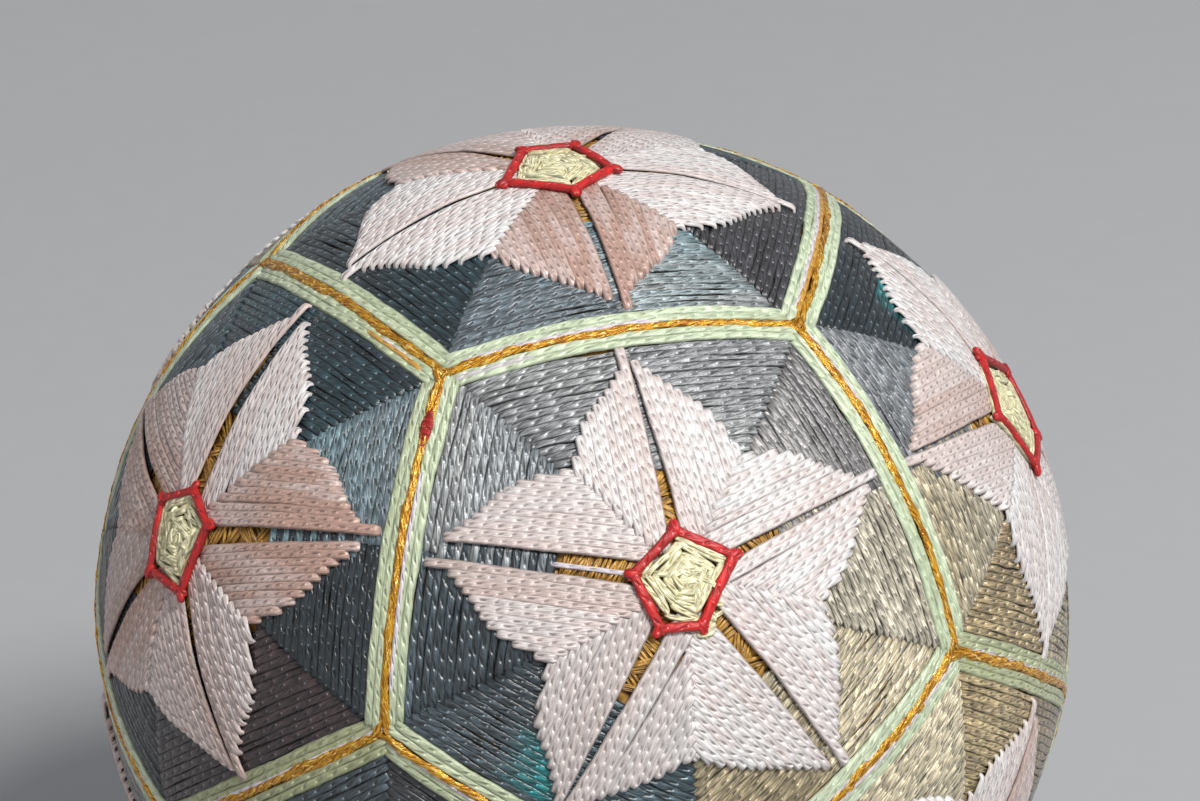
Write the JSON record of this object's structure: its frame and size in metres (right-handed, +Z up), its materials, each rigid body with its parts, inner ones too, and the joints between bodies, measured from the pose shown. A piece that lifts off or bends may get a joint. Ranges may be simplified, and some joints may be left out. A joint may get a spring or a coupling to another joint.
{
  "type": "temari ball",
  "caption": "Hand-wound thread ball with a stitched flower on each pentagon, edged by pale bands and metallic lines, resting on a small flat spot.",
  "frame": {"origin": "centre of the flat spot, on the surface that the ball rests on", "axes": "+Z up along the axis of the top flower, -Y towards one of the five flowers round it, +X to the right seen from -Y"},
  "size_m": [0.1002, 0.099, 0.1],
  "materials": {
    "field_thread": "satin two-ply cotton thread, variegated slate, teal, grey and khaki",
    "flower_thread": "shiny two-ply cotton thread, white to pale pink",
    "band_thread": "shiny two-ply cotton thread, pale mint green",
    "wrap_thread": "fine matt wound thread, ochre brown",
    "gold_thread": "glinting twisted metallic thread, gold",
    "guide_thread": "glossy guide thread, white with a lilac tint",
    "ring_thread": "satin two-ply cotton thread, deep red",
    "centre_thread": "satin two-ply cotton thread, pale yellow cream"
  },
  "bodies": {
    "root": {"wound_ball": "field_thread"}
  },
  "joints": []
}
